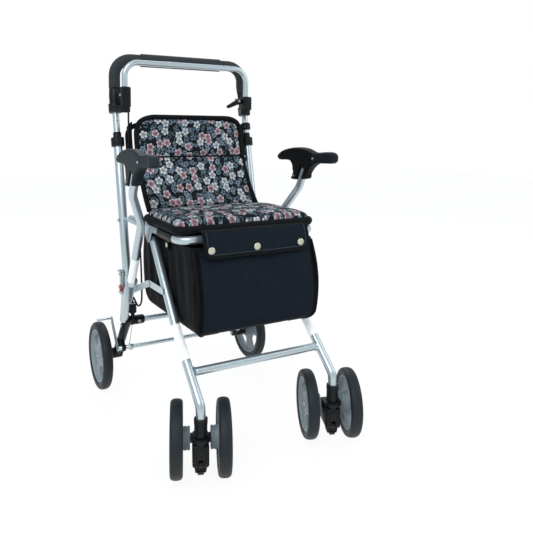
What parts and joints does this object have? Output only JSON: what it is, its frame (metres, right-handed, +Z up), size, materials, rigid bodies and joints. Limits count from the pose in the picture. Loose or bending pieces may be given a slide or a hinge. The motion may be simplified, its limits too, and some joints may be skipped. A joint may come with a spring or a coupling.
{
  "type": "shopping rollator",
  "caption": "Folding aluminium walking frame with a padded seat and backrest, a soft bag, armrests, twin-wheel front casters, rear wheels and a push handle with a brake bar.",
  "frame": {"origin": "on the floor, under the middle of the whole outline", "axes": "+Z up; the front casters point to -Y and the user walks at +Y; +X is the user's right hand seen from behind"},
  "size_m": [0.4769, 0.6314, 0.8605],
  "materials": {
    "silver": "satin silver coating",
    "black_plastic": "matt moulded",
    "black_foam": "soft foam",
    "tyre_rubber": "matt",
    "rim_grey": "satin moulded",
    "bag_cloth": "plain weave",
    "seat_cloth": "printed with small flowers",
    "steel": "zinc plated",
    "left_armrest": "satin",
    "right_armrest": "satin"
  },
  "bodies": {
    "rear_frame": {"main_post_left": "silver", "main_post_right": "silver", "height_collar_left": "black_plastic", "height_collar_right": "black_plastic", "rear_leg_left": "black_plastic", "rear_leg_right": "black_plastic", "rear_axle_left": "steel", "rear_axle_right": "steel", "rear_cross_tube": "silver", "cross_clamp_left": "black_plastic", "cross_clamp_right": "black_plastic", "backrest_hoop": "silver", "arm_tube_left": "silver", "arm_tube_right": "silver", "armrest_left": "left_armrest", "armrest_right": "right_armrest", "bag": "bag_cloth", "brake_cable": "black_plastic", "cable_barrel": "black_plastic", "fold_lock_plate": "silver"},
    "seat_frame": {"seat_frame_tube": "silver", "seat_board": "black_plastic", "seat_cushion": "seat_cloth"},
    "front_frame": {"front_leg_left": "silver", "front_leg_right": "silver", "front_crossbar": "silver", "caster_socket_left": "black_plastic", "caster_socket_right": "black_plastic"},
    "rear_stay_left": {"rear_stay_left": "silver"},
    "rear_stay_right": {"rear_stay_right": "silver"},
    "front_stay_left": {"front_stay_left": "silver"},
    "front_stay_right": {"front_stay_right": "silver"},
    "backrest": {"backrest_cushion": "seat_cloth"},
    "bag_flap": {"bag_flap": "bag_cloth"},
    "handle": {"handle_tube": "silver", "handle_foam": "black_foam", "handle_grip": "black_foam", "height_ring": "black_plastic", "handle_bracket_left": "black_plastic", "handle_bracket_right": "black_plastic"},
    "brake_bar": {"brake_bar": "silver"},
    "parking_lever": {"parking_lever": "black_plastic"},
    "brake_torsion_bar": {"brake_torsion_bar": "silver"},
    "fold_lock_lever": {"fold_lock_lever": "steel"},
    "rear_wheel_left": {"rear_rim_left": "rim_grey", "rear_tyre_left": "tyre_rubber"},
    "rear_wheel_right": {"rear_rim_right": "rim_grey", "rear_tyre_right": "tyre_rubber"},
    "caster_left": {"caster_body_left": "black_plastic"},
    "caster_lock_left": {"caster_lock_left": "black_plastic"},
    "front_wheel_left_a": {"front_rim_left_a": "rim_grey", "front_tyre_left_a": "tyre_rubber"},
    "front_wheel_left_b": {"front_rim_left_b": "rim_grey", "front_tyre_left_b": "tyre_rubber"},
    "caster_right": {"caster_body_right": "black_plastic"},
    "caster_lock_right": {"caster_lock_right": "black_plastic"},
    "front_wheel_right_a": {"front_rim_right_a": "rim_grey", "front_tyre_right_a": "tyre_rubber"},
    "front_wheel_right_b": {"front_rim_right_b": "rim_grey", "front_tyre_right_b": "tyre_rubber"}
  },
  "joints": [
    {"name": "seat_fold", "type": "hinge", "parent": "rear_frame", "child": "seat_frame", "pos_m": [-0.00683, 0.14576, 0.45], "axis": [-1, 0, 0], "range_deg": [0, 59.4], "deforming": ["bag", "brake_cable"]},
    {"name": "front_frame_fold", "type": "hinge", "parent": "seat_frame", "child": "front_frame", "pos_m": [-0.00683, 0.009, 0.427], "axis": [1, 0, 0], "range_deg": [0, 94.05]},
    {"name": "rear_stay_fold_left", "type": "hinge", "parent": "rear_frame", "child": "rear_stay_left", "pos_m": [-0.17373, 0.12556, 0.278], "axis": [-1, 0, 0], "range_deg": [0, 66.83]},
    {"name": "front_stay_fold_left", "type": "hinge", "parent": "front_frame", "child": "front_stay_left", "pos_m": [-0.17143, -0.077, 0.3285], "axis": [-1, 0, 0], "range_deg": [0, 46.03]},
    {"name": "rear_stay_fold_right", "type": "hinge", "parent": "rear_frame", "child": "rear_stay_right", "pos_m": [0.16007, 0.12556, 0.278], "axis": [-1, 0, 0], "range_deg": [0, 66.83]},
    {"name": "front_stay_fold_right", "type": "hinge", "parent": "front_frame", "child": "front_stay_right", "pos_m": [0.15777, -0.077, 0.3285], "axis": [-1, 0, 0], "range_deg": [0, 46.03]},
    {"name": "backrest_tilt", "type": "hinge", "parent": "rear_frame", "child": "backrest", "pos_m": [-0.00683, 0.19507, 0.68], "axis": [1, 0, 0], "range_deg": [0, 32.67]},
    {"name": "bag_flap_lift", "type": "hinge", "parent": "seat_frame", "child": "bag_flap", "pos_m": [-0.00683, -0.193, 0.466], "axis": [-1, 0, 0], "range_deg": [0, 110]},
    {"name": "handle_height", "type": "slide", "parent": "rear_frame", "child": "handle", "axis": [0, 0.2096, 0.9778], "range_m": [0, 0.08], "deforming": ["brake_cable"]},
    {"name": "brake_squeeze", "type": "hinge", "parent": "handle", "child": "brake_bar", "pos_m": [-0.00683, 0.17, 0.7525], "axis": [-1, 0, 0], "range_deg": [0, 14], "stiffness_Nm_per_rad": 1.5},
    {"name": "parking_set", "type": "hinge", "parent": "handle", "child": "parking_lever", "pos_m": [0.14107, 0.17, 0.747], "axis": [0, 1, 0], "range_deg": [0, 25]},
    {"name": "brake_press", "type": "hinge", "parent": "rear_frame", "child": "brake_torsion_bar", "pos_m": [-0.00683, 0.179, 0.1165], "axis": [-1, 0, 0], "range_deg": [0, 6], "stiffness_Nm_per_rad": 1},
    {"name": "fold_lock_release", "type": "hinge", "parent": "rear_frame", "child": "fold_lock_lever", "pos_m": [-0.19883, 0.1186, 0.3243], "axis": [-1, 0, 0], "range_deg": [0, 35]},
    {"name": "caster_swivel_left", "type": "hinge", "parent": "front_frame", "child": "caster_left", "pos_m": [-0.16083, -0.2552, 0.095], "axis": [0, 0, 1], "continuous": true},
    {"name": "caster_lock_press_left", "type": "hinge", "parent": "caster_left", "child": "caster_lock_left", "pos_m": [-0.16389, -0.26259, 0.043], "axis": [-0.9239, 0.3827, 0], "range_deg": [0, 25]},
    {"name": "front_wheel_spin_left_a", "type": "hinge", "parent": "caster_left", "child": "front_wheel_left_a", "pos_m": [-0.19077, -0.20729, 0.07287], "axis": [0.9239, -0.3827, 0], "continuous": true},
    {"name": "front_wheel_spin_left_b", "type": "hinge", "parent": "caster_left", "child": "front_wheel_left_b", "pos_m": [-0.10578, -0.2425, 0.07287], "axis": [0.9239, -0.3827, 0], "continuous": true},
    {"name": "rear_wheel_spin_left", "type": "hinge", "parent": "rear_frame", "child": "rear_wheel_left", "pos_m": [-0.22583, 0.2347, 0.08526], "axis": [1, 0, 0], "continuous": true},
    {"name": "caster_swivel_right", "type": "hinge", "parent": "front_frame", "child": "caster_right", "pos_m": [0.14717, -0.2552, 0.095], "axis": [0, 0, 1], "continuous": true},
    {"name": "caster_lock_press_right", "type": "hinge", "parent": "caster_right", "child": "caster_lock_right", "pos_m": [0.14411, -0.26259, 0.043], "axis": [-0.9239, 0.3827, 0], "range_deg": [0, 25]},
    {"name": "front_wheel_spin_right_a", "type": "hinge", "parent": "caster_right", "child": "front_wheel_right_a", "pos_m": [0.11723, -0.20729, 0.07287], "axis": [0.9239, -0.3827, 0], "continuous": true},
    {"name": "front_wheel_spin_right_b", "type": "hinge", "parent": "caster_right", "child": "front_wheel_right_b", "pos_m": [0.20222, -0.2425, 0.07287], "axis": [0.9239, -0.3827, 0], "continuous": true},
    {"name": "rear_wheel_spin_right", "type": "hinge", "parent": "rear_frame", "child": "rear_wheel_right", "pos_m": [0.21217, 0.2347, 0.08526], "axis": [1, 0, 0], "continuous": true}
  ],
  "couplings": [
    {"joint": "front_frame_fold", "follows": "seat_fold", "ratio": 1.5833},
    {"joint": "rear_stay_fold_left", "follows": "seat_fold", "ratio": 1.125},
    {"joint": "front_stay_fold_left", "follows": "seat_fold", "ratio": 0.775},
    {"joint": "rear_stay_fold_right", "follows": "seat_fold", "ratio": 1.125},
    {"joint": "front_stay_fold_right", "follows": "seat_fold", "ratio": 0.775},
    {"joint": "backrest_tilt", "follows": "seat_fold", "ratio": 0.55},
    {"joint": "brake_press", "follows": "brake_squeeze", "ratio": 0.42857}
  ]
}
